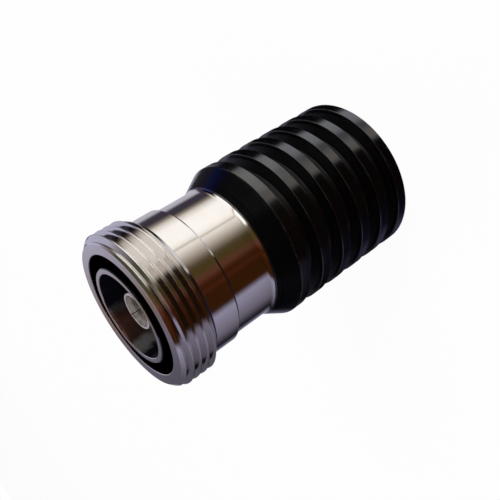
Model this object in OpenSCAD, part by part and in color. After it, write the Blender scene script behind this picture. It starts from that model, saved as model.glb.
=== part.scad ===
// Coaxial dummy load: a screw-on female connector with a round finned heat sink behind it.
// The axis is Z. The heat sink's flat back lies on Z = 0 and the mating face points up. Millimetres.

/* [Thread] */
// Outside diameter of the coupling thread
thread_d = 29; // [27:0.5:31]
// Distance from one turn to the next
thread_pitch = 1.5; // [1:0.25:2]
// Length of the threaded ring, from the mating face to the foot of its rear chamfer
thread_l = 7.65; // [6:0.05:10]
// Lead-in chamfer at the mating face
thread_lead = 1.15; // [0.6:0.05:1.4]
// Distance from the mating face to the middle of the first groove
thread_start = 0.65; // [0.3:0.05:1.2]

/* [Shell] */
// Diameter of the short collar behind the thread
collar_d = 26.1; // [25.6:0.1:27]
// Length of the collar
collar_l = 5.2; // [4:0.1:8]
// Diameter of the neck between the collar and the heat sink
neck_d = 25; // [24:0.1:25.5]
// Length of the neck
neck_l = 8.25; // [7:0.05:12]
// Length of the spigot that goes into the heat sink
spigot_l = 8; // [6:0.5:12]
// Wall of the spigot
spigot_wall = 2.4; // [2:0.1:3]
// Depth of the ring-shaped gap round the outer contact
gap_depth = 9; // [7:0.5:11]
// Width of the ring-shaped gap round the outer contact
gap_w = 2.35; // [2:0.05:2.6]
// Bevel on the rear edge of the collar
collar_bevel = 0.5; // [0.1:0.05:0.5]
// Width of the flare at the foot of the neck, out to the heat sink's cone
flare_w = 0.3; // [0.1:0.05:0.6]
// Length of the flare at the foot of the neck
flare_l = 0.5; // [0.2:0.05:0.8]

/* [Line] */
// Bore of the outer contact
sleeve_bore_d = 16; // [15:0.1:17]
// Wall of the outer contact
sleeve_wall = 1.05; // [0.8:0.05:1.3]
// Height of the outer contact's rim above the mating face
sleeve_proud = 0.3; // [0.1:0.05:0.6]
// Chamfer on the outer edge of the outer contact's rim
sleeve_lead = 0.2; // [0.1:0.05:0.4]
// Bevel on the inner edge of the outer contact's rim
sleeve_bevel = 0.1; // [0.05:0.05:0.2]
// Depth from the mating face to the insulating bead
mating_depth = 14; // [12:0.5:16]
// Bore of the shell behind the bead
line_d = 15.2; // [14:0.1:15.6]

/* [Centre contact] */
// Outside diameter of the socket
contact_d = 7; // [6.4:0.1:8]
// Bore of the socket
contact_bore_d = 5; // [4:0.1:5.6]
// Depth of the bore
contact_bore_l = 10; // [8:0.5:11]
// How far the socket's mouth lies below the mating face
contact_recess = 1.4; // [0.8:0.1:2.4]
// Flat width of the socket's rim, between its bevel and its lead-in
contact_lip = 0.35; // [0.2:0.05:0.5]
// Bevel on the outer edge of the socket's rim
contact_bevel = 0.12; // [0.06:0.02:0.2]
// Depth of the lead-in cone in the socket's mouth
contact_lead_l = 0.8; // [0.4:0.1:1.5]
// Number of spring slots
slot_count = 4; // [3:1:6]
// Width of a spring slot
slot_w = 0.35; // [0.2:0.05:0.6]
// Length of a spring slot
slot_l = 8.5; // [6:0.5:9.5]
// Diameter of the stem that goes through the bead
stem_d = 4.8; // [4:0.1:5.4]
// Length of the stem that plugs into the resistor's front cap
stem_plug_l = 3.2; // [2.5:0.1:4]

/* [Insulator] */
// Thickness of the bead
bead_t = 4; // [3:0.25:6]
// Depth of the ring-shaped recess in each face of the bead
bead_recess = 0.8; // [0.4:0.1:1.2]
// Wall left round the stem
bead_hub_wall = 1.4; // [1.2:0.1:1.8]
// Wall left at the rim
bead_rim_wall = 2; // [1.6:0.1:2.4]

/* [Resistor] */
// Diameter of the ceramic rod
rod_d = 6; // [5.6:0.1:7]
// Wall of the metal caps
cap_wall = 0.5; // [0.3:0.05:0.8]
// Thickness of the web across a cap
cap_web = 1; // [0.6:0.1:1.5]
// How far the rod goes into each cap
cap_grip = 3; // [2:0.25:4]
// Wall of the slotted bush round the rear cap
bush_wall = 1.8; // [1.2:0.1:2.4]
// Height of the solid foot of the bush, below its slots
bush_foot = 1.2; // [0.8:0.1:2]
// Number of slots in the bush
bush_slot_count = 4; // [3:1:6]
// Width of a slot in the bush
bush_slot_w = 0.6; // [0.3:0.05:0.9]
// Room round the rear cap at the narrow end of the tapered liner
taper_gap = 0.5; // [0.3:0.05:0.8]

/* [Heat sink] */
// Number of round fins
fin_count = 6; // [4:1:8]
// Thickness of a fin at its rim
fin_t = 2.1; // [1.6:0.05:3]
// Width of a groove between two fins
groove_w = 2.95; // [2:0.05:4]
// Depth of a groove
groove_depth = 2.98; // [2:0.02:4]
// Wall left between the grooves and the bore
sink_wall = 2; // [1.5:0.1:3]
// Length of the conical shoulder at the front
shoulder_l = 3.8; // [2.5:0.1:5]
// Thickness of the solid back
back_t = 3; // [2:0.25:5]
// Bevel on the edges of the fins
fin_bevel = 0.15; // [0.05:0.05:0.3]

/* [Seal] */
// Thickness of the rubber ring
seal_t = 1.1; // [0.8:0.05:1.4]
// Free room beside the ring, along its groove
seal_room = 0.4; // [0.2:0.05:0.8]
// Distance from the neck to the ring's groove
seal_setback = 1.6; // [1:0.1:3]

/* [Fits] */
// Radial clearance of the pressed and pushed fits
fit = 0.02; // [0.01:0.005:0.04]

/* [Hidden] */
$fn = 120;

// Colours of the finishes
nickel = [0.74, 0.72, 0.72];
silver_plate = [0.82, 0.81, 0.78];
fluoropolymer = [0.93, 0.93, 0.91];
ceramic_film = [0.28, 0.2, 0.16];
bare_brass = [0.76, 0.64, 0.36];
black_anodise = [0.05, 0.05, 0.06];
black_rubber = [0.09, 0.09, 0.09];

// Cutters reach this far past the faces that they open
past = 1;

// Radii, from the axis outwards
stem_r = stem_d / 2;
contact_r = contact_d / 2;
contact_bore_r = contact_bore_d / 2;
rod_r = rod_d / 2;
cap_r = rod_r + fit + cap_wall;
bush_bore_r = cap_r + fit;
bush_r = bush_bore_r + bush_wall;
taper_end_r = cap_r + taper_gap;
line_r = line_d / 2;
sleeve_bore_r = sleeve_bore_d / 2;
sleeve_r = sleeve_bore_r + sleeve_wall;
seat_r = sleeve_r + fit;
gap_r = sleeve_r + gap_w;
spigot_r = line_r + spigot_wall;
sink_bore_r = spigot_r + fit;
sink_core_r = sink_bore_r + sink_wall;
sink_r = sink_core_r + groove_depth;
neck_r = neck_d / 2;
collar_r = collar_d / 2;
flare_r = neck_r + flare_w;

// Bevels and lead-ins, with the flat that they leave
fin_edge = min(fin_bevel, fin_t / 3);
collar_edge = min(collar_bevel, collar_r - neck_r);
contact_mouth_r = contact_r - contact_bevel - contact_lip;

// Heights, from the flat back up
sink_l = shoulder_l + fin_count * fin_t + (fin_count - 1) * groove_w;
spigot_z = sink_l - spigot_l;
collar_z = sink_l + neck_l;
thread_z = collar_z + collar_l;
face_z = thread_z + thread_l;
bead_z = face_z - mating_depth - bead_t;
bead_top_z = bead_z + bead_t;
contact_top_z = face_z - contact_recess;
rear_cap_l = cap_web + cap_grip;
front_cap_l = stem_plug_l + cap_web + cap_grip;
front_cap_z = bead_z - front_cap_l;
rod_z = back_t + cap_web;
rod_top_z = front_cap_z + cap_grip;

// Metric thread flanks, with flats of an eighth of the pitch at the crests and a tenth at the roots
thread_r = thread_d / 2;
flank_angle = 30;
flank_slope = tan(flank_angle);
crest_w = thread_pitch / 8;
root_w = thread_pitch / 10;
root_r = thread_r - (thread_pitch - crest_w - root_w) / 2 / flank_slope;
turn_count = floor((thread_l - thread_start) / thread_pitch) + 1;

// Ring groove in the spigot
seal_groove_r = spigot_r - seal_t;
seal_groove_w = seal_t + seal_room;
seal_groove_z = sink_l - seal_setback - seal_groove_w;

// Outside of the shell before its thread is cut, from the mating face down to the end of the spigot.
function shell_outline() = [
    [0, face_z],
    [thread_r - thread_lead, face_z],
    [thread_r, face_z - thread_lead],
    [thread_r, thread_z + thread_r - collar_r],
    [collar_r, thread_z],
    [collar_r, collar_z + collar_edge],
    [collar_r - collar_edge, collar_z],
    [neck_r, collar_z],
    [neck_r, sink_l + flare_l],
    [flare_r, sink_l],
    [spigot_r, sink_l],
    [spigot_r, spigot_z],
    [0, spigot_z]
];

// One groove of the heat sink, from the top edge of the fin below it to the bottom edge of the fin above.
function groove_points(low_z) = [
    [sink_r, low_z - fin_edge],
    [sink_r - fin_edge, low_z],
    [sink_core_r, low_z],
    [sink_core_r, low_z + groove_w],
    [sink_r - fin_edge, low_z + groove_w],
    [sink_r, low_z + groove_w + fin_edge]
];

// Outside of the heat sink, from the back up to the conical shoulder and the front face.
function sink_outline() = concat(
    [[0, 0], [sink_r - fin_edge, 0], [sink_r, fin_edge]],
    [for (fin = [1 : fin_count - 1]) each groove_points(fin * fin_t + (fin - 1) * groove_w)],
    [[sink_r, sink_l - shoulder_l], [flare_r, sink_l], [0, sink_l]]
);

// Round bar from one height to another, for solids and for bores.
module bar(r, low_z, high_z) {
    translate([0, 0, low_z])
        cylinder(r = r, h = high_z - low_z);
}

// Turned ring with a square section.
module ring(inner_r, outer_r, low_z, high_z) {
    difference() {
        bar(outer_r, low_z, high_z);
        bar(inner_r, low_z - past, high_z + past);
    }
}

// Cuts that run outwards from the axis, evenly spaced round it.
module radial_slots(count, width, reach, low_z, high_z) {
    for (slot = [0 : count - 1])
        rotate(slot * 360 / count)
            translate([0, -width / 2, low_z])
                cube([reach, width, high_z - low_z]);
}

// Section of one thread groove, cut open well past the crests.
module thread_groove(middle_z) {
    mouth_r = thread_r + past;
    mouth_half_w = root_w / 2 + (mouth_r - root_r) * flank_slope;
    translate([0, middle_z])
        polygon([
            [root_r, root_w / 2],
            [root_r, -root_w / 2],
            [mouth_r, -mouth_half_w],
            [mouth_r, mouth_half_w]
        ]);
}

module connector_shell() {
    color(nickel)
        difference() {
            rotate_extrude()
                difference() {
                    polygon(shell_outline());
                    for (turn = [0 : turn_count - 1])
                        thread_groove(face_z - thread_start - turn * thread_pitch);
                }
            bar(gap_r, face_z - gap_depth, face_z + past);
            bar(seat_r, bead_z, face_z - gap_depth + past);
            bar(line_r, spigot_z - past, bead_z + past);
            ring(seal_groove_r, spigot_r + past, seal_groove_z, seal_groove_z + seal_groove_w);
        }
}

module outer_contact_sleeve() {
    rim_z = face_z + sleeve_proud;
    color(nickel)
        rotate_extrude()
            polygon([
                [sleeve_bore_r, bead_top_z],
                [sleeve_r, bead_top_z],
                [sleeve_r, rim_z - sleeve_lead],
                [sleeve_r - sleeve_lead, rim_z],
                [sleeve_bore_r + sleeve_bevel, rim_z],
                [sleeve_bore_r, rim_z - sleeve_bevel]
            ]);
}

module center_contact() {
    bore_z = contact_top_z - contact_bore_l;
    color(silver_plate)
        difference() {
            rotate_extrude()
                polygon([
                    [0, bead_z - stem_plug_l],
                    [stem_r, bead_z - stem_plug_l],
                    [stem_r, bead_top_z],
                    [contact_r, bead_top_z],
                    [contact_r, contact_top_z - contact_bevel],
                    [contact_r - contact_bevel, contact_top_z],
                    [contact_mouth_r, contact_top_z],
                    [contact_bore_r, contact_top_z - contact_lead_l],
                    [contact_bore_r, bore_z],
                    [0, bore_z]
                ]);
            radial_slots(slot_count, slot_w, contact_r + past, contact_top_z - slot_l, contact_top_z + past);
        }
}

module contact_insulator() {
    recess_in_r = stem_r + fit + bead_hub_wall;
    recess_out_r = sleeve_r - bead_rim_wall;
    color(fluoropolymer)
        difference() {
            ring(stem_r + fit, sleeve_r, bead_z, bead_top_z);
            ring(recess_in_r, recess_out_r, bead_top_z - bead_recess, bead_top_z + past);
            ring(recess_in_r, recess_out_r, bead_z - past, bead_z + bead_recess);
        }
}

module resistor_front_cap() {
    color(silver_plate)
        difference() {
            bar(cap_r, front_cap_z, bead_z);
            bar(rod_r + fit, front_cap_z - past, rod_top_z);
            bar(stem_r + fit, bead_z - stem_plug_l, bead_z + past);
        }
}

module resistor_rod() {
    color(ceramic_film)
        bar(rod_r, rod_z, rod_top_z);
}

module resistor_rear_cap() {
    color(silver_plate)
        difference() {
            bar(cap_r, back_t, back_t + rear_cap_l);
            bar(rod_r + fit, rod_z, back_t + rear_cap_l + past);
        }
}

module ground_bush() {
    color(bare_brass)
        difference() {
            ring(bush_bore_r, bush_r, back_t, back_t + rear_cap_l);
            radial_slots(
                bush_slot_count, bush_slot_w, bush_r + past, back_t + bush_foot, back_t + rear_cap_l + past
            );
        }
}

module taper_liner() {
    taper_z = back_t + rear_cap_l;
    color(bare_brass)
        rotate_extrude()
            polygon([
                [bush_r + fit, back_t],
                [spigot_r, back_t],
                [spigot_r, spigot_z],
                [line_r, spigot_z],
                [taper_end_r, taper_z],
                [bush_r + fit, taper_z]
            ]);
}

module seal_ring() {
    color(black_rubber)
        translate([0, 0, seal_groove_z + seal_groove_w / 2])
            rotate_extrude()
                translate([seal_groove_r + (seal_t + fit) / 2, 0])
                    circle(d = seal_t);
}

module heat_sink() {
    color(black_anodise)
        difference() {
            rotate_extrude()
                polygon(sink_outline());
            bar(sink_bore_r, back_t, sink_l + past);
        }
}

connector_shell();
outer_contact_sleeve();
center_contact();
contact_insulator();
resistor_front_cap();
resistor_rod();
resistor_rear_cap();
ground_bush();
taper_liner();
seal_ring();
heat_sink();
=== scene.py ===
import math

import bmesh
import bpy
from mathutils import Matrix, Vector


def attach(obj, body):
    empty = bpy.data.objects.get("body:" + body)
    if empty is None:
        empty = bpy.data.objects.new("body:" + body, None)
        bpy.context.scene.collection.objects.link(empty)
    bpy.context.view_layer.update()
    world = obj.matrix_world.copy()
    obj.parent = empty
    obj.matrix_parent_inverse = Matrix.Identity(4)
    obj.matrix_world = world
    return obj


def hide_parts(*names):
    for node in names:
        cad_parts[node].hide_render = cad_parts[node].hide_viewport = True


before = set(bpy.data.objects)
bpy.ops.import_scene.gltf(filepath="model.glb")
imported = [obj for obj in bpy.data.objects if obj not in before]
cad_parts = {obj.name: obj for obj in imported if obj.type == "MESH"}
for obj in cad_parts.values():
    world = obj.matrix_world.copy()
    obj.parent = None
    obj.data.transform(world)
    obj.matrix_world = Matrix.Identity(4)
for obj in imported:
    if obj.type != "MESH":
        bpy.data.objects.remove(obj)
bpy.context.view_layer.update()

# Heat sink: an aluminium bar turned into a cone and six round fins, then anodised black.
# Its bore takes the connector's spigot, and its flat back is the end that the load stands on.
MM = 0.001
FULL_TURN = 2 * math.pi
TURN_STEPS = 256
ARC_STEP = math.radians(18)
FACE_FEED = 1.37


def rounded(corners):
    """Points with outward normals for each corner (radius, height, fillet) of a turned section."""
    arcs = []
    for before, corner, after in zip(corners[-1:] + corners[:-1], corners, corners[1:] + corners[:1]):
        here = Vector(corner[:2])
        coming = (here - Vector(before[:2])).normalized()
        going = (Vector(after[:2]) - here).normalized()
        normal_in = Vector((coming.y, -coming.x))
        normal_out = Vector((going.y, -going.x))
        fillet = corner[2]
        if fillet == 0:
            flat = normal_in if after[0] == 0 else normal_out
            arcs.append([(here.x, here.y, flat)])
            continue
        bend = math.atan2(coming.cross(going), coming.dot(going))
        start = here - coming * fillet * abs(math.tan(bend / 2))
        inwards = math.copysign(fillet, bend)
        centre = start - normal_in * inwards
        steps = max(2, math.ceil(abs(bend) / ARC_STEP))
        arc = []
        for step in range(steps + 1):
            normal = Matrix.Rotation(bend * step / steps, 2) @ normal_in
            point = centre + normal * inwards
            arc.append((point.x, point.y, normal))
        arcs.append(arc)
    return arcs


class TurnedSkin:
    """Rings of points round the Z axis, joined into one skin that keeps the true normal of each point."""

    def __init__(self):
        self.points = []
        self.normals = []
        self.faces = []

    def point(self, radius, angle, height, outward, upward, along=0.0):
        across = Vector((math.cos(angle), math.sin(angle), 0))
        forward = Vector((-across.y, across.x, 0))
        self.points.append((across * radius + Vector((0, 0, height))) * MM)
        self.normals.append(across * outward + forward * along + Vector((0, 0, upward)))
        return len(self.points) - 1

    def ring(self, radius, height, normal):
        if radius == 0:
            return [self.point(0, 0, height, 0, normal.y)] * (TURN_STEPS + 1)
        ring = [
            self.point(radius, FULL_TURN * step / TURN_STEPS, height, normal.x, normal.y)
            for step in range(TURN_STEPS)
        ]
        return ring + ring[:1]

    def band(self, lower, upper):
        for corners in zip(lower, lower[1:], upper[1:], upper):
            kept = list(dict.fromkeys(corners))
            if len(kept) > 2:
                self.faces.append(kept)

    def section(self, corners):
        rings = [self.ring(*point) for arc in rounded(corners) for point in arc]
        for lower, upper in zip(rings, rings[1:] + rings[:1]):
            self.band(lower, upper)
        return self

    def piece(self, name, finish, slot, node):
        mesh = bpy.data.meshes.new(name)
        mesh.from_pydata(self.points, [], self.faces)
        mesh.shade_smooth()
        mesh.normals_split_custom_set_from_vertices(self.normals)
        mesh.materials.append(finish.owner)
        piece = bpy.data.objects.new(name, mesh)
        bpy.context.scene.collection.objects.link(piece)
        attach(piece, "root")
        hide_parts(node)


class Value:
    """A number that changes over a surface. Sums and products of it become Math nodes."""

    def __init__(self, finish, socket):
        self.finish = finish
        self.socket = socket

    def math(self, operation, *operands):
        return self.finish.add("ShaderNodeMath", {"operation": operation}, dict(enumerate(operands)))

    def __add__(self, other):
        return self.math("ADD", self, other)

    def __sub__(self, other):
        return self.math("SUBTRACT", self, other)

    def __rsub__(self, other):
        return self.math("SUBTRACT", other, self)

    def __mul__(self, other):
        return self.math("MULTIPLY", self, other)

    def __truediv__(self, other):
        return self.math("DIVIDE", self, other)

    def __pow__(self, other):
        return self.math("POWER", self, other)

    def __abs__(self):
        return self.math("ABSOLUTE", self)

    __radd__ = __add__
    __rmul__ = __mul__


class Finish:
    """The nodes of a material or of the world, measured in the part's own frame."""

    def __init__(self, owner):
        self.owner = owner
        owner.use_nodes = True
        self.tree = owner.node_tree

    def add(self, kind, settings, sockets, output=0):
        node = self.tree.nodes.new(kind)
        for name, setting in settings.items():
            if name == "stops":
                ramp = node.color_ramp.elements
                while len(ramp) < len(setting):
                    ramp.new(1.0)
                for stop, (position, colour) in zip(ramp, setting):
                    stop.position = position
                    stop.color = colour
            else:
                setattr(node, name, setting)
        self.feed(node, sockets)
        return Value(self, node.outputs[output])

    def feed(self, node, sockets):
        for name, value in sockets.items():
            if isinstance(value, Value):
                self.tree.links.new(value.socket, node.inputs[name])
            else:
                node.inputs[name].default_value = value

    def surface(self, **sockets):
        plain = {name.replace("_", " "): value for name, value in sockets.items()}
        self.feed(self.tree.nodes["Principled BSDF"], plain)

    def shown_by(self, shader):
        self.tree.nodes.remove(self.tree.nodes["Principled BSDF"])
        self.feed(self.tree.nodes["Material Output"], {"Surface": shader})

    def position(self, unit):
        """X, Y and Z on the object itself, counted in the given unit."""
        where = self.add("ShaderNodeTexCoord", {}, {}, "Object")
        return [self.add("ShaderNodeSeparateXYZ", {}, {0: where}, axis) / unit for axis in "XYZ"]

    def place(self):
        """Radius and height on the part, in mm."""
        x, y, z = self.position(MM)
        return (x * x + y * y) ** 0.5, z

    def facing(self):
        """How far the surface faces along the axis: one on a flat face, none on a round wall."""
        normal = self.add("ShaderNodeTexCoord", {}, {}, "Normal")
        return self.add("ShaderNodeSeparateXYZ", {}, {0: normal}, "Z")

    def lathe_lines(self, radius, height, per_mm, detail):
        """Rings left by the tool: they follow the height on a wall and the radius on a face."""
        feed = (height + radius * FACE_FEED) * per_mm
        sockets = {"W": feed, "Scale": 1.0, "Detail": detail}
        return self.add("ShaderNodeTexNoise", {"noise_dimensions": "1D"}, sockets)

    def clouds(self, per_mm, detail):
        """Soft uneven patches, so many to a millimetre."""
        where = self.add("ShaderNodeTexCoord", {}, {}, "Object")
        return self.add("ShaderNodeTexNoise", {}, {"Vector": where, "Scale": per_mm / MM, "Detail": detail})

    def ramp(self, value, low, high):
        """Zero at low, one at high, with soft ends."""
        return self.add(
            "ShaderNodeMapRange",
            {"interpolation_type": "SMOOTHSTEP"},
            {"Value": value, "From Min": low, "From Max": high},
        )

    def tones(self, value, low, high, stops):
        """Colours that follow a value from low to high. Each stop is a value and its colour."""
        span = high - low
        return self.add(
            "ShaderNodeValToRGB",
            {"stops": [((stop - low) / span, (*colour, 1)) for stop, colour in stops]},
            {0: (value - low) / span},
        )

    def mix(self, factor, first, second):
        return self.add("ShaderNodeMix", {"data_type": "RGBA"}, {0: factor, 6: first, 7: second}, 2)

    def bump(self, height, depth_mm):
        sockets = {"Height": height, "Distance": depth_mm * MM, "Strength": 1.0}
        return self.add("ShaderNodeBump", {}, sockets)


SINK_R = 15.0
SINK_CORE_R = 12.02
SINK_BORE_R = 10.02
SINK_L = 31.15
BACK_T = 3.0
FIN_COUNT = 6
FIN_T = 2.1
FIN_STEP = 5.05
SHOULDER_Z = 27.35
FLARE_R = 12.8
FIN_EDGE = 0.16
GROOVE_FILLET = 0.3
SHOULDER_EDGE = 0.25
BORE_EDGE = 0.1
BORE_FILLET = 0.3
BLACK_DYE = (0.0006, 0.0006, 0.0009, 1)
THIN_DYE = (0.0014, 0.0014, 0.002, 1)
WORN_DYE = (0.012, 0.012, 0.014, 1)

sink_corners = [(0, 0, 0), (SINK_R, 0, FIN_EDGE)]
for fin in range(1, FIN_COUNT):
    groove_z = fin * FIN_STEP
    sink_corners += [
        (SINK_R, groove_z - FIN_STEP + FIN_T, FIN_EDGE),
        (SINK_CORE_R, groove_z - FIN_STEP + FIN_T, GROOVE_FILLET),
        (SINK_CORE_R, groove_z, GROOVE_FILLET),
        (SINK_R, groove_z, FIN_EDGE),
    ]
sink_corners += [
    (SINK_R, SHOULDER_Z, SHOULDER_EDGE),
    (FLARE_R, SINK_L, BORE_EDGE),
    (SINK_BORE_R, SINK_L, BORE_EDGE),
    (SINK_BORE_R, BACK_T, BORE_FILLET),
    (0, BACK_T, 0),
]

anodise = Finish(bpy.data.materials.new("black_anodise"))
radius, height = anodise.place()
facing = abs(anodise.facing())
fine_lines = anodise.lathe_lines(radius, height, per_mm=9.0, detail=2.0)
broad_lines = anodise.lathe_lines(radius, height, per_mm=2.2, detail=1.0)
dye = anodise.clouds(per_mm=0.25, detail=3.0)
rim = anodise.ramp(radius, SINK_R - 0.3, SINK_R - 0.05)
edge = rim * facing * (1 - facing) * 4
wear = anodise.ramp(edge * anodise.clouds(per_mm=1.6, detail=4.0), 0.35, 0.7)
under_rim = 1 - anodise.ramp(radius, SINK_R - 1.2, SINK_R - 0.4)
behind_cone = 1 - anodise.ramp(height, SHOULDER_Z - 1, SHOULDER_Z)
in_groove = under_rim * behind_cone
black = anodise.mix(dye, BLACK_DYE, THIN_DYE)
anodise.surface(
    Base_Color=anodise.mix(wear, black, WORN_DYE),
    Roughness=0.1 + fine_lines * 0.08 + wear * 0.1 + in_groove * 0.3,
    IOR=1.75,
    Anisotropic=0.4,
    Anisotropic_Rotation=0.25,
    Normal=anodise.bump(fine_lines * 0.6 + broad_lines, depth_mm=0.0012),
)
sink = TurnedSkin().section(sink_corners)
sink.piece("heat_sink_turned", anodise, "black_anodise", "heat_sink")

# Taper liner: a brass sleeve at the bottom of the heat sink's bore. Its bored cone narrows round
# the resistor, so that the line keeps its impedance while the power is used up.
CLEAN_BRASS = (0.73, 0.56, 0.26, 1)
DULL_BRASS = (0.56, 0.41, 0.19, 1)

brass = Finish(bpy.data.materials.new("turned_brass"))
radius, height = brass.place()
lines = brass.lathe_lines(radius, height, per_mm=7.0, detail=2.0)
tarnish = brass.ramp(brass.clouds(per_mm=0.4, detail=4.0), 0.4, 0.75)
brass.surface(
    Base_Color=brass.mix(tarnish, CLEAN_BRASS, DULL_BRASS),
    Metallic=1.0,
    Roughness=0.24 + lines * 0.1 + tarnish * 0.12,
    Normal=brass.bump(lines, depth_mm=0.002),
)


def dress(node, finish):
    """Gives a finish to a piece that keeps its own mesh."""
    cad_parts[node].material_slots[0].material = finish.owner


dress("taper_liner", brass)

# Ground bush: a short slotted brass collet that stands on the heat sink's back.
# Its fingers grip the resistor's rear cap and carry its heat and current into the aluminium.
dress("ground_bush", brass)

# Resistor caps: drawn brass cups pressed on the two ends of the rod and plated with silver.
# The rear one stands in the bush, and the front one takes the centre contact's stem.
CLEAN_SILVER = (0.82, 0.8, 0.76, 1)
BLOOMED_SILVER = (0.62, 0.58, 0.52, 1)

silver = Finish(bpy.data.materials.new("silver_plate"))
radius, height = silver.place()
lines = silver.lathe_lines(radius, height, per_mm=8.0, detail=2.0)
bloom = silver.ramp(silver.clouds(per_mm=0.7, detail=4.0), 0.42, 0.8)
silver.surface(
    Base_Color=silver.mix(bloom, CLEAN_SILVER, BLOOMED_SILVER),
    Metallic=1.0,
    Roughness=0.18 + lines * 0.08 + bloom * 0.14,
    Normal=silver.bump(lines, depth_mm=0.0015),
)
dress("resistor_rear_cap", silver)
dress("resistor_front_cap", silver)

# Resistor rod: a ceramic rod with a baked brown film, the part that turns the power into heat.
# The film is spread thin and uneven, and the rod is pushed into the caps.
THICK_FILM = (0.09, 0.05, 0.03, 1)
THIN_FILM = (0.2, 0.12, 0.07, 1)

film = Finish(bpy.data.materials.new("resistor_film"))
grain = film.clouds(per_mm=3.0, detail=5.0)
film.surface(
    Base_Color=film.mix(grain, THICK_FILM, THIN_FILM),
    Roughness=0.42 + grain * 0.2,
    Normal=film.bump(grain, depth_mm=0.004),
)
dress("resistor_rod", film)

# Seal ring: a moulded black rubber ring in the groove of the shell's spigot.
# It is squeezed a little by the heat sink's bore and keeps damp out.
BLACK_RUBBER = (0.012, 0.012, 0.012, 1)
GREY_RUBBER = (0.03, 0.03, 0.03, 1)

rubber = Finish(bpy.data.materials.new("seal_rubber"))
skin = rubber.clouds(per_mm=5.0, detail=3.0)
rubber.surface(
    Base_Color=rubber.mix(skin, BLACK_RUBBER, GREY_RUBBER),
    Roughness=0.55 + skin * 0.2,
    Normal=rubber.bump(skin, depth_mm=0.003),
)
dress("seal_ring", rubber)

# Connector shell: one brass bar turned into the neck, the collar and a threaded ring, and plated with
# bright nickel. Its spigot goes into the heat sink, and a deep ring-shaped gap parts it from the sleeve.
FACE_Z = 52.25
COLLAR_Z = 39.4
SPIGOT_Z = 23.15
NECK_R = 12.5
COLLAR_R = 13.05
SPIGOT_R = 10.0
LINE_R = 7.6
SEAT_R = 9.07
BEAD_Z = 34.25
GAP_R = 11.4
SLEEVE_BORE_R = 8.0
SLEEVE_R = 9.05
GAP_Z = 43.25
SEAL_R = 8.9
SEAL_LOW_Z = 28.05
SEAL_HIGH_Z = 29.55
COLLAR_BEVEL = 0.5
FLARE_L = 0.5
THREAD_R = 14.5
THREAD_L = 7.65
THREAD_LEAD = 1.15
PITCH = 1.5
ROOT_W = PITCH / 10
CREST_W = PITCH / 8
ROOT_R = THREAD_R - (PITCH - CREST_W - ROOT_W) / 2 / math.tan(math.radians(30))
GROOVE_START = 0.36
ROW_STEP = 0.1
BROKEN_EDGE = 0.1
SPIGOT_EDGE = 0.2
SPIGOT_ROOT = 0.05
SEAL_EDGE = 0.08
SEAL_FILLET = 0.1
FLARE_EDGE = 0.03
FLARE_FILLET = 1.9
STEP_ROOT = 0.02
COLLAR_EDGE = 0.05
GAP_EDGE = 0.15
GAP_FILLET = 0.3
CREST_EDGE = 0.03
ROOT_FILLET = 0.1

foot_z = FACE_Z - THREAD_L
nose_r = THREAD_R - THREAD_LEAD
shell_corners = [
    (LINE_R, SPIGOT_Z, BROKEN_EDGE),
    (SPIGOT_R, SPIGOT_Z, SPIGOT_EDGE),
    (SPIGOT_R, SEAL_LOW_Z, SEAL_EDGE),
    (SEAL_R, SEAL_LOW_Z, SEAL_FILLET),
    (SEAL_R, SEAL_HIGH_Z, SEAL_FILLET),
    (SPIGOT_R, SEAL_HIGH_Z, SEAL_EDGE),
    (SPIGOT_R, SINK_L, SPIGOT_ROOT),
    (FLARE_R, SINK_L, FLARE_EDGE),
    (NECK_R, SINK_L + FLARE_L, FLARE_FILLET),
    (NECK_R, COLLAR_Z, STEP_ROOT),
    (COLLAR_R - COLLAR_BEVEL, COLLAR_Z, STEP_ROOT),
    (COLLAR_R, COLLAR_Z + COLLAR_BEVEL, COLLAR_EDGE),
    (COLLAR_R, foot_z, BROKEN_EDGE),
    (THREAD_R, foot_z + THREAD_R - COLLAR_R, 0),
    (THREAD_R, FACE_Z - THREAD_LEAD, 0),
    (nose_r, FACE_Z, BROKEN_EDGE),
    (GAP_R, FACE_Z, GAP_EDGE),
    (GAP_R, GAP_Z, GAP_FILLET),
    (SEAT_R, GAP_Z, BROKEN_EDGE),
    (SEAT_R, BEAD_Z, BROKEN_EDGE),
    (LINE_R, BEAD_Z, BROKEN_EDGE),
]
foot_corner = 12
nose_corner = 15

# One pitch of the thread as rows of points, from the middle of a crest to the middle of the next.
flank_half_w = (PITCH - CREST_W) / 2
form = [
    point
    for arc in rounded([
        (THREAD_R, -PITCH / 2, 0),
        (THREAD_R, -flank_half_w, CREST_EDGE),
        (ROOT_R, -ROOT_W / 2, ROOT_FILLET),
        (ROOT_R, ROOT_W / 2, ROOT_FILLET),
        (THREAD_R, flank_half_w, CREST_EDGE),
        (THREAD_R, PITCH / 2, 0),
    ])
    for point in arc
]
thread_rows = []
for (r, z, normal), (next_r, next_z, next_normal) in zip(form, form[1:]):
    cuts = max(1, math.ceil(math.hypot(next_r - r, next_z - z) / ROW_STEP))
    for cut in range(cuts):
        share = cut / cuts
        row_r = r + (next_r - r) * share
        row_z = z + (next_z - z) * share
        thread_rows.append((row_r, row_z, normal.lerp(next_normal, share)))

shell = TurnedSkin()
shell_arcs = rounded(shell_corners)
shell_rings = [[shell.ring(*point) for point in arc] for arc in shell_arcs]
low_z = shell_arcs[foot_corner][-1][1]
high_z = shell_arcs[nose_corner][0][1]
foot_ring = shell_rings[foot_corner][-1]
nose_ring = shell_rings[nose_corner][0]
step_turn = FULL_TURN / TURN_STEPS
back_slope = Vector((1, -1)).normalized()
front_slope = Vector((1, 1)).normalized()

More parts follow.
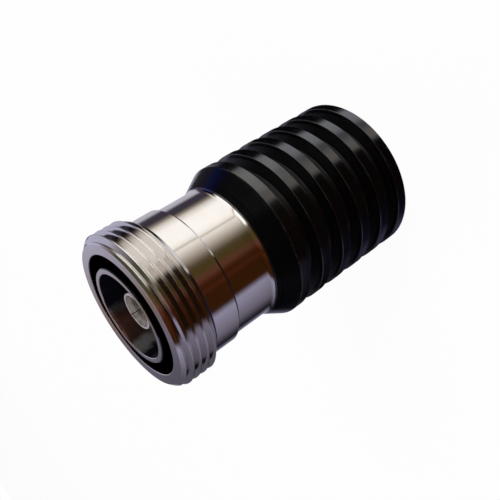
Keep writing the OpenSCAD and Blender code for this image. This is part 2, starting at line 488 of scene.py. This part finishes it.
helix = []
turn_total = math.ceil((THREAD_L + PITCH) / PITCH) + 1
for turn in range(turn_total):
    middle_z = FACE_Z - GROOVE_START + PITCH * (turn + 1 - turn_total)
    for r, z, normal in thread_rows:
        row = []
        for step in range(TURN_STEPS):
            here_z = middle_z + z + PITCH * step / TURN_STEPS
            if here_z <= low_z:
                row.append(foot_ring[step])
            elif here_z >= high_z:
                row.append(nose_ring[step])
            else:
                here_r, here_normal = min(
                    (r, normal),
                    (COLLAR_R + here_z - foot_z, back_slope),
                    (nose_r + FACE_Z - here_z, front_slope),
                    key=lambda choice: choice[0],
                )
                lean = -here_normal.y * PITCH / (FULL_TURN * here_r) if here_normal is normal else 0.0
                angle = step * step_turn
                row.append(shell.point(here_r, angle, here_z, here_normal.x, here_normal.y, lean))
        helix.append(row)
for index, row in enumerate(helix):
    after = index + len(thread_rows)
    row.append(helix[after][0] if after < len(helix) else nose_ring[0])
for lower, upper in zip(helix, helix[1:]):
    shell.band(lower, upper)

plain_corners = shell_rings[nose_corner:] + shell_rings[:foot_corner + 1]
plain_rings = [ring for corner_rings in plain_corners for ring in corner_rings]
for lower, upper in zip(plain_rings, plain_rings[1:]):
    shell.band(lower, upper)

CLEAN_NICKEL = (0.7, 0.675, 0.65, 1)
HAZY_NICKEL = (0.63, 0.605, 0.585, 1)
RUBBED_NICKEL = (0.76, 0.74, 0.72, 1)
SPECK = (0.5, 0.47, 0.44, 1)
# Painted shade for the walls of the deep gap round the sleeve.
GAP_PAINTED_SHADE = (0.03, 0.028, 0.03, 1)
# Painted shade down the sleeve's bore, then painted reflections across the bore with a pale painted glint
# among them.
BORE_PAINTED_SHADE = (0.03, 0.025, 0.035, 1)
BORE_REFLECTION_BLACK = (0.03, 0.03, 0.05)
BORE_REFLECTION_GLINT = (0.75, 0.72, 0.7)
BORE_REFLECTION_BROWN = (0.2, 0.105, 0.075)
BORE_REFLECTION_RED = (0.3, 0.13, 0.095)
BORE_REFLECTION_TAN = (0.22, 0.1, 0.075)
BORE_REFLECTION_GREY = (0.22, 0.205, 0.2)
BORE_REFLECTION_BLUE = (0.04, 0.036, 0.065)
BORE_REFLECTION_SPREAD = 3.0
bore_reflection_stops = [
    (-6.5, BORE_REFLECTION_BLACK),
    (-5.7, BORE_REFLECTION_GLINT),
    (-4.9, BORE_REFLECTION_GLINT),
    (-3.9, BORE_REFLECTION_BROWN),
    (-1.0, BORE_REFLECTION_RED),
    (1.2, BORE_REFLECTION_TAN),
    (2.2, BORE_REFLECTION_GREY),
    (3.6, BORE_REFLECTION_BLUE),
]

nickel = Finish(bpy.data.materials.new("bright_nickel"))
radius, height = nickel.place()
facing = abs(nickel.facing())
fine_lines = nickel.lathe_lines(radius, height, per_mm=8.0, detail=2.0)
broad_lines = nickel.lathe_lines(radius, height, per_mm=1.4, detail=1.0)
haze = nickel.clouds(per_mm=0.35, detail=4.0)
specks = nickel.ramp(nickel.clouds(per_mm=4.0, detail=3.0), 0.62, 0.75)
edge = nickel.ramp(facing * (1 - facing) * 4, 0.5, 0.95)
plate = nickel.mix(haze, CLEAN_NICKEL, HAZY_NICKEL)
rubbed = nickel.mix(edge * 0.6, plate, RUBBED_NICKEL)
speckled = nickel.mix(specks * 0.25, rubbed, SPECK)

# Painted shade: the walls of the deep gap between the shell and the sleeve are turned near-black.
past_sleeve = nickel.ramp(radius, SLEEVE_R, GAP_R)
on_sleeve = nickel.ramp(radius, SLEEVE_R - 0.2, SLEEVE_R - 0.14) * (1 - past_sleeve)
on_shell = past_sleeve * (1 - nickel.ramp(radius, GAP_R + 0.02, GAP_R + 0.08))
in_gap = on_sleeve + on_shell * (1 - nickel.ramp(height, FACE_Z - 0.4, FACE_Z + 0.1))

# Painted reflections and shade in the sleeve's bore: tones set by the place from side to side, and darker
# further down.
on_bore = 1 - nickel.ramp(radius, SLEEVE_BORE_R + 0.01, SLEEVE_BORE_R + 0.06)
in_bore = on_bore * nickel.ramp(height, FACE_Z - 12, FACE_Z - 9)
sideways = nickel.position(MM)[0] + (haze - 0.5) * BORE_REFLECTION_SPREAD
painted_bore_reflection = nickel.tones(sideways, -SLEEVE_R, SLEEVE_R, bore_reflection_stops)
down_bore = nickel.ramp(height, FACE_Z - 2, FACE_Z - 7)
bore_painted_light = nickel.mix(in_bore, speckled, nickel.mix(down_bore * 0.75, painted_bore_reflection, BORE_PAINTED_SHADE))
nickel.surface(
    Base_Color=nickel.mix(in_gap * 0.96, bore_painted_light, GAP_PAINTED_SHADE),
    Metallic=1 - in_bore * 0.12,
    Roughness=0.06 + fine_lines * 0.05 + haze * 0.04 + specks * 0.06,
    Anisotropic=0.4,
    Anisotropic_Rotation=0.25,
    Normal=nickel.bump(fine_lines * 0.5 + broad_lines, depth_mm=0.0016),
)
shell.piece("connector_shell_turned", nickel, "nickel_plate", "connector_shell")

# Contact insulator: a white fluoropolymer bead, turned with a ring-shaped recess in each face.
# It holds the centre contact on the axis and is pressed between the shell's seat and the sleeve.
BEAD_TOP_Z = 38.25
BEAD_R = 9.05
BEAD_BORE_R = 2.42
RECESS = 0.8
RECESS_IN_R = 3.82
RECESS_OUT_R = 7.05
RECESS_EDGE = 0.12
RECESS_FILLET = 0.15
BEAD_EDGE = 0.15
MILK_WHITE = (0.86, 0.86, 0.84, 1)
GREY_WHITE = (0.78, 0.78, 0.75, 1)

bead_corners = [
    (BEAD_BORE_R, BEAD_Z, BROKEN_EDGE),
    (RECESS_IN_R, BEAD_Z, RECESS_EDGE),
    (RECESS_IN_R, BEAD_Z + RECESS, RECESS_FILLET),
    (RECESS_OUT_R, BEAD_Z + RECESS, RECESS_FILLET),
    (RECESS_OUT_R, BEAD_Z, RECESS_EDGE),
    (BEAD_R, BEAD_Z, BEAD_EDGE),
    (BEAD_R, BEAD_TOP_Z, BEAD_EDGE),
    (RECESS_OUT_R, BEAD_TOP_Z, RECESS_EDGE),
    (RECESS_OUT_R, BEAD_TOP_Z - RECESS, RECESS_FILLET),
    (RECESS_IN_R, BEAD_TOP_Z - RECESS, RECESS_FILLET),
    (RECESS_IN_R, BEAD_TOP_Z, RECESS_EDGE),
    (BEAD_BORE_R, BEAD_TOP_Z, BROKEN_EDGE),
]
polymer = Finish(bpy.data.materials.new("white_fluoropolymer"))
radius, height = polymer.place()
lines = polymer.lathe_lines(radius, height, per_mm=6.0, detail=2.0)
milk = polymer.clouds(per_mm=0.5, detail=3.0)
polymer.surface(
    Base_Color=polymer.mix(milk, MILK_WHITE, GREY_WHITE),
    Roughness=0.38 + lines * 0.14,
    IOR=1.35,
    Normal=polymer.bump(lines, depth_mm=0.004),
)
bead = TurnedSkin().section(bead_corners)
bead.piece("contact_insulator_turned", polymer, "fluoropolymer", "contact_insulator")

# Centre contact: a silver-plated brass socket sawn into four spring fingers, with a cone at its mouth
# that guides the plug's pin. Its thinner stem passes through the bead into the resistor's front cap.
STEM_R = 2.4
STEM_Z = 31.05
CONTACT_R = 3.5
CONTACT_BORE_R = 2.5
CONTACT_BORE_Z = 40.85
CONTACT_TOP_Z = 50.85
CONTACT_MOUTH_R = 3.03
CONTACT_BEVEL = 0.12
CONTACT_LEAD = 0.8
FINGER_Z = 42.35
FINGER_COUNT = 4
FINGER_STEPS = 40
ARC_POINTS = FINGER_STEPS + 1
SLOT_W = 0.35
SLOT_TIP_W = 0.14
STEM_EDGE = 0.25
STEM_ROOT = 0.05
CONTACT_EDGE = 0.15
TIP_EDGE = 0.05
MOUTH_EDGE = 0.06
SOCKET_FILLET = 0.2
RUBBED_SILVER = (0.72, 0.69, 0.68, 1)
LIP_SILVER = (0.6, 0.57, 0.62, 1)
# Painted shade inside the contact's socket, mottled from grey to near-black.
SOCKET_SHADE_GREY = (0.34, 0.31, 0.27, 1)
SOCKET_SHADE_BLACK = (0.11, 0.095, 0.08, 1)

contact_corners = [
    (0, STEM_Z, 0),
    (STEM_R, STEM_Z, STEM_EDGE),
    (STEM_R, BEAD_TOP_Z, STEM_ROOT),
    (CONTACT_R, BEAD_TOP_Z, CONTACT_EDGE),
    (CONTACT_R, FINGER_Z, 0),
    (CONTACT_R, CONTACT_TOP_Z - CONTACT_BEVEL, TIP_EDGE),
    (CONTACT_R - CONTACT_BEVEL, CONTACT_TOP_Z, TIP_EDGE),
    (CONTACT_MOUTH_R, CONTACT_TOP_Z, MOUTH_EDGE),
    (CONTACT_BORE_R, CONTACT_TOP_Z - CONTACT_LEAD, SOCKET_FILLET),
    (CONTACT_BORE_R, FINGER_Z, 0),
    (CONTACT_BORE_R, CONTACT_BORE_Z, SOCKET_FILLET),
    (0, CONTACT_BORE_Z, 0),
]
outer_foot = 4
inner_foot = 9
finger_turn = FULL_TURN / FINGER_COUNT
contact = TurnedSkin()


def slot_turn(radius, height):
    """Half a slot's angle. The slots narrow towards the tips, where the fingers are closed in."""
    spring = max(0, (height - FINGER_Z) / (CONTACT_TOP_Z - FINGER_Z))
    return math.asin((SLOT_W + (SLOT_TIP_W - SLOT_W) * spring) / 2 / radius)


def slotted_ring(radius, height, normal):
    """One arc of points for each finger, with the width of a slot between the arcs."""
    if radius == 0:
        return [contact.point(0, 0, height, 0, normal.y)] * (FINGER_COUNT * ARC_POINTS)
    edge = slot_turn(radius, height)
    reach = finger_turn - 2 * edge
    angles = [
        finger * finger_turn + edge + reach * step / FINGER_STEPS
        for finger in range(FINGER_COUNT)
        for step in range(ARC_POINTS)
    ]
    return [contact.point(radius, angle, height, normal.x, normal.y) for angle in angles]


contact_arcs = rounded(contact_corners)
contact_rings = [[slotted_ring(*point) for point in arc] for arc in contact_arcs]
for whole in (contact_rings[:outer_foot + 1], contact_rings[inner_foot:]):
    rings = [ring + ring[:1] for corner_rings in whole for ring in corner_rings]
    for lower, upper in zip(rings, rings[1:]):
        contact.band(lower, upper)
finger_corners = slice(outer_foot, inner_foot + 1)
finger_rings = [ring for corner_rings in contact_rings[finger_corners] for ring in corner_rings]
finger_edge = [point for arc in contact_arcs[finger_corners] for point in arc]
for finger in range(FINGER_COUNT):
    own_points = slice(finger * ARC_POINTS, (finger + 1) * ARC_POINTS)
    for lower, upper in zip(finger_rings, finger_rings[1:]):
        contact.band(lower[own_points], upper[own_points])
    near_slot = finger * finger_turn
    far_slot = near_slot + finger_turn
    contact.faces.append([
        contact.point(r, near_slot + slot_turn(r, z), z, 0, 0, -1.0) for r, z, normal in finger_edge
    ])
    contact.faces.append([
        contact.point(r, far_slot - slot_turn(r, z), z, 0, 0, 1.0) for r, z, normal in reversed(finger_edge)
    ])
    contact.faces.append([
        contact.point(r, far_slot + hand * slot_turn(r, FINGER_Z), FINGER_Z, 0, 1.0)
        for r, hand in ((CONTACT_R, -1), (CONTACT_R, 1), (CONTACT_BORE_R, 1), (CONTACT_BORE_R, -1))
    ])

dull_silver = Finish(bpy.data.materials.new("dull_silver_plate"))
radius, height = dull_silver.place()
lines = dull_silver.lathe_lines(radius, height, per_mm=8.0, detail=2.0)
bloom = dull_silver.ramp(dull_silver.clouds(per_mm=0.9, detail=4.0), 0.35, 0.75)
near_tip = dull_silver.ramp(height, FINGER_Z, CONTACT_TOP_Z)
lip = dull_silver.ramp(dull_silver.facing(), 0.75, 0.95) * near_tip
# Painted shade: inside the socket the silver is turned grey to near-black, mottled, and made less metallic.
in_socket = (1 - dull_silver.ramp(radius, CONTACT_MOUTH_R, CONTACT_MOUTH_R + 0.08)) * (1 - lip)
socket_painted_shade = dull_silver.mix(bloom, SOCKET_SHADE_GREY, SOCKET_SHADE_BLACK)
body = dull_silver.mix(in_socket, RUBBED_SILVER, socket_painted_shade)
dull_silver.surface(
    Base_Color=dull_silver.mix(lip, body, LIP_SILVER),
    Metallic=1 - in_socket * 0.7 - lip * 0.6,
    Roughness=0.16 + lines * 0.08 + in_socket * 0.3,
    Normal=dull_silver.bump(lines, depth_mm=0.0015),
)
contact.piece("center_contact_turned", dull_silver, "silver_plate", "center_contact")

# Outer contact sleeve: a thin nickel-plated tube that carries the outer conductor up to the mating face.
# It is pressed into the shell over the bead, and its chamfered rim stands a little proud of the thread.
SLEEVE_LEAD = 0.2
SLEEVE_BEVEL = 0.1
RIM_Z = 52.55
SLEEVE_EDGE = 0.05
LEAD_EDGE = 0.06
BEVEL_EDGE = 0.04

sleeve_corners = [
    (SLEEVE_BORE_R, BEAD_TOP_Z, SLEEVE_EDGE),
    (SLEEVE_R, BEAD_TOP_Z, SLEEVE_EDGE),
    (SLEEVE_R, RIM_Z - SLEEVE_LEAD, LEAD_EDGE),
    (SLEEVE_R - SLEEVE_LEAD, RIM_Z, LEAD_EDGE),
    (SLEEVE_BORE_R + SLEEVE_BEVEL, RIM_Z, BEVEL_EDGE),
    (SLEEVE_BORE_R, RIM_Z - SLEEVE_BEVEL, BEVEL_EDGE),
]
sleeve = TurnedSkin().section(sleeve_corners)
sleeve.piece("outer_contact_sleeve_turned", nickel, "nickel_plate", "outer_contact_sleeve")

# Stage: a plain pale floor with the load's faint shadow, and a round of tinted cards that the metal
# mirrors. The cards are seen by glossy rays alone, so they add no light to the floor or to the dull pieces.
FLOOR_SIZE = 6.0
FLOOR_GLOW = 0.95
FLOOR_GREY = (0.9, 0.9, 0.9, 1)
CARDS_R = 0.45
CARDS_Z = 0.037
CARDS_TILT = math.radians(-17)
WHITE = (1, 1, 1, 1)

floor_mesh = bpy.data.meshes.new("floor")
half = FLOOR_SIZE / 2
floor_corners = [(-half, -half, 0), (half, -half, 0), (half, half, 0), (-half, half, 0)]
floor_mesh.from_pydata(floor_corners, [], [(0, 1, 2, 3)])
floor = bpy.data.objects.new("floor", floor_mesh)
bpy.context.scene.collection.objects.link(floor)
floor.visible_glossy = False


def seen(finish):
    """One for rays from the camera, from gloss and through glass."""
    rays = ("Is Camera Ray", "Is Glossy Ray", "Is Transmission Ray")
    straight, gloss, glass = (finish.add("ShaderNodeLightPath", {}, {}, ray) for ray in rays)
    return straight.math("MAXIMUM", straight, gloss.math("MAXIMUM", gloss, glass))


paper = Finish(bpy.data.materials.new("floor_paper"))
matt = paper.add("ShaderNodeBsdfDiffuse", {}, {"Color": FLOOR_GREY})
glow = paper.add("ShaderNodeEmission", {}, {"Color": WHITE, "Strength": 1.0})
paper.shown_by(paper.add("ShaderNodeMixShader", {}, {0: seen(paper) * FLOOR_GLOW, 1: matt, 2: glow}))
floor_mesh.materials.append(paper.owner)

CARD_GLOW = 1.6
KEY = (0.9, 0.885, 0.86)
CREAM = (0.78, 0.74, 0.69)
DIM_CREAM = (0.6, 0.56, 0.52)
STRAW = (0.38, 0.34, 0.29)
FAWN = (0.2, 0.17, 0.135)
SAND = (0.08, 0.06, 0.035)
OLIVE = (0.055, 0.038, 0.012)
RUST = (0.08, 0.032, 0.017)
UMBER = (0.05, 0.0125, 0.0045)
BROWN = (0.028, 0.0085, 0.002)
LAVENDER = (0.235, 0.222, 0.32)
DIM_LAVENDER = (0.12, 0.107, 0.148)
PLUM = (0.036, 0.031, 0.044)
DARK = (0.003, 0.003, 0.004)
PALE = (0.34, 0.34, 0.45)
PEARL = (0.36, 0.35, 0.41)
ROSE = (0.22, 0.195, 0.225)
CLAY = (0.14, 0.1, 0.095)
DUSK = (0.07, 0.067, 0.09)
SOOT = (0.01, 0.0045, 0.002)
MOSS = (0.05, 0.05, 0.033)
NAVY = (0.015, 0.025, 0.14)
DIM_NAVY = (0.01, 0.011, 0.03)
SLATE = (0.06, 0.06, 0.11)
STEEL = (0.76, 0.78, 0.84)
DIM_STEEL = (0.25, 0.26, 0.29)
wall_stops = [
    (-172, LAVENDER),
    (-141, DARK),
    (-130, PLUM),
    (-114, DIM_LAVENDER),
    (-80, LAVENDER),
    (-70, BROWN),
    (-42, BROWN),
    (-34, UMBER),
    (-28, BROWN),
    (-22, UMBER),
    (-14, RUST),
    (-8, RUST),
    (-4, OLIVE),
    (6, OLIVE),
    (13, SAND),
    (21, FAWN),
    (30, STRAW),
    (40, DIM_CREAM),
    (47, CREAM),
    (48.5, STRAW),
    (50, STRAW),
    (51.5, CREAM),
    (60, KEY),
    (89, KEY),
    (100, DIM_CREAM),
    (107, FAWN),
    (114, PLUM),
    (130, PLUM),
    (139, PEARL),
    (165, PEARL),
    (180, LAVENDER),
]
cone_stops = [
    (-172, LAVENDER),
    (-150, DARK),
    (85, DARK),
    (112, NAVY),
    (120, PLUM),
    (156, PLUM),
    (166, LAVENDER),
]
top_stops = [
    (-180, CLAY),
    (-175, DIM_LAVENDER),
    (-170, DUSK),
    (-136, DUSK),
    (-115, DIM_LAVENDER),
    (-80, LAVENDER),
    (-70, BROWN),
    (-30, UMBER),
    (-10, RUST),
    (10, OLIVE),
    (25, MOSS),
    (85, MOSS),
    (113, ROSE),
    (125, PALE),
    (168, PALE),
    (175, ROSE),
    (180, CLAY),
]
low_stops = [
    (-172, LAVENDER),
    (-160, DARK),
    (-145, SLATE),
    (-130, SLATE),
    (-115, DIM_NAVY),
    (-72, SOOT),
    (18, SOOT),
    (28, DARK),
    (37, DIM_CREAM),
    (52, DIM_CREAM),
    (65, DIM_STEEL),
    (70, DIM_STEEL),
    (80, STEEL),
    (101, STEEL),
    (110, DARK),
    (165, DARK),
    (180, LAVENDER),
]

cards_mesh = bpy.data.meshes.new("cards")
ball = bmesh.new()
bmesh.ops.create_icosphere(ball, subdivisions=5, radius=CARDS_R)
ball.to_mesh(cards_mesh)
ball.free()
cards = bpy.data.objects.new("cards", cards_mesh)
cards.location = (0, 0, CARDS_Z)
cards.rotation_euler = (CARDS_TILT, 0, 0)
for ray in ("camera", "diffuse", "transmission", "volume_scatter", "shadow"):
    setattr(cards, "visible_" + ray, False)
bpy.context.scene.collection.objects.link(cards)

tint = Finish(bpy.data.materials.new("tinted_cards"))
x, y, z = tint.position(CARDS_R)
upright = z * math.cos(CARDS_TILT) + y * math.sin(CARDS_TILT)
away = y * math.cos(CARDS_TILT) - z * math.sin(CARDS_TILT)
turn = x.math("ARCTAN2", x, 0 - y) * math.degrees(1)
walls, cone, top, low = (
    tint.tones(turn, -180, 180, stops) for stops in (wall_stops, cone_stops, top_stops, low_stops)
)

# Where one card ends and the next begins: heights in shares of the ball's radius, turns in degrees.
above_walls = tint.ramp(z, -0.43, -0.36) * tint.ramp(turn, 16, 24)
below_walls = tint.ramp(z, -0.69, -0.73) * tint.ramp(turn, 22, 32)
wide_key = (above_walls + below_walls) * (1 - tint.ramp(turn, 46, 48))
key_shade = tint.ramp(upright, -0.27, -0.19) * tint.ramp(turn, 82, 94) * (1 - tint.ramp(turn, 112, 122))
cone_edge = z + tint.ramp(turn, 122, 136) * 0.08
overhead = tint.ramp(upright, 0.965, 0.985) * (1 - tint.ramp(away, 0.08, 0.13))
low_shade = tint.ramp(upright, -0.64, -0.54) * (1 - tint.ramp(turn, -112, -100))
low_edge = upright + tint.ramp(turn, 46, 56) * (1 - tint.ramp(turn, 96, 106)) * 0.075

colour = tint.mix(wide_key, walls, (*KEY, 1))
colour = tint.mix(key_shade, colour, (*DARK, 1))
colour = tint.mix(tint.ramp(cone_edge, 0.04, 0.1), colour, cone)
colour = tint.mix(tint.ramp(z, 0.26, 0.32), colour, top)
colour = tint.mix(overhead, colour, (*CREAM, 1))
low = tint.mix(low_shade, low, (*DARK, 1))
colour = tint.mix(1 - tint.ramp(low_edge, -0.51, -0.47), colour, low)
tint.shown_by(tint.add("ShaderNodeEmission", {}, {"Color": colour, "Strength": CARD_GLOW}))
tint.owner.cycles.emission_sampling = "NONE"
cards_mesh.materials.append(tint.owner)

# Light: a white room and three soft lamps, the strongest on the side where the metal shows brightest.
# The lamps light the dull pieces and draw the shadow, and the metal shows the cards in their place.
ROOM_GREY = (0.4, 0.4, 0.41, 1)
LOAD_MIDDLE = Vector((0, 0, 0.025))

air = Finish(bpy.data.worlds.new("air"))
bpy.context.scene.world = air.owner
room = air.mix(seen(air), ROOM_GREY, WHITE)
air.feed(air.tree.nodes["Background"], {"Color": room, "Strength": 1.0})

for name, place, size, power in (
    ("key_lamp", (0.42, -0.34, 0.5), 0.35, 2.6),
    ("fill_lamp", (-0.5, -0.3, 0.35), 0.45, 0.9),
    ("back_lamp", (0.05, 0.55, 0.5), 0.45, 0.9),
):
    lamp = bpy.data.lights.new(name, "AREA")
    lamp.size = size
    lamp.energy = power
    lamp_object = bpy.data.objects.new(name, lamp)
    lamp_object.location = place
    lamp_object.rotation_euler = (LOAD_MIDDLE - Vector(place)).to_track_quat("-Z", "Y").to_euler()
    lamp_object.visible_glossy = False
    bpy.context.scene.collection.objects.link(lamp_object)

# Camera: in front of the mating face and above it, turned so that the load lies slanting across the
# picture. Its place and lens come from the circles of the turned edges.
LENS_MM = 49.167
FILM_MM = 36.0
NEAREST = 0.001
CAMERA_PLACE = (0, -0.108903, 0.08447)
CAMERA_ANGLES = (-46.27997, 47.50125, -143.82895)

camera = bpy.data.cameras.new("camera")
camera.lens = LENS_MM
camera.sensor_width = FILM_MM
camera.clip_start = NEAREST
camera_object = bpy.data.objects.new("camera", camera)
camera_object.location = CAMERA_PLACE
camera_object.rotation_euler = [math.radians(angle) for angle in CAMERA_ANGLES]
bpy.context.scene.collection.objects.link(camera_object)
bpy.context.scene.camera = camera_object
bpy.context.scene.view_settings.view_transform = "Standard"

bpy.context.view_layer.update()
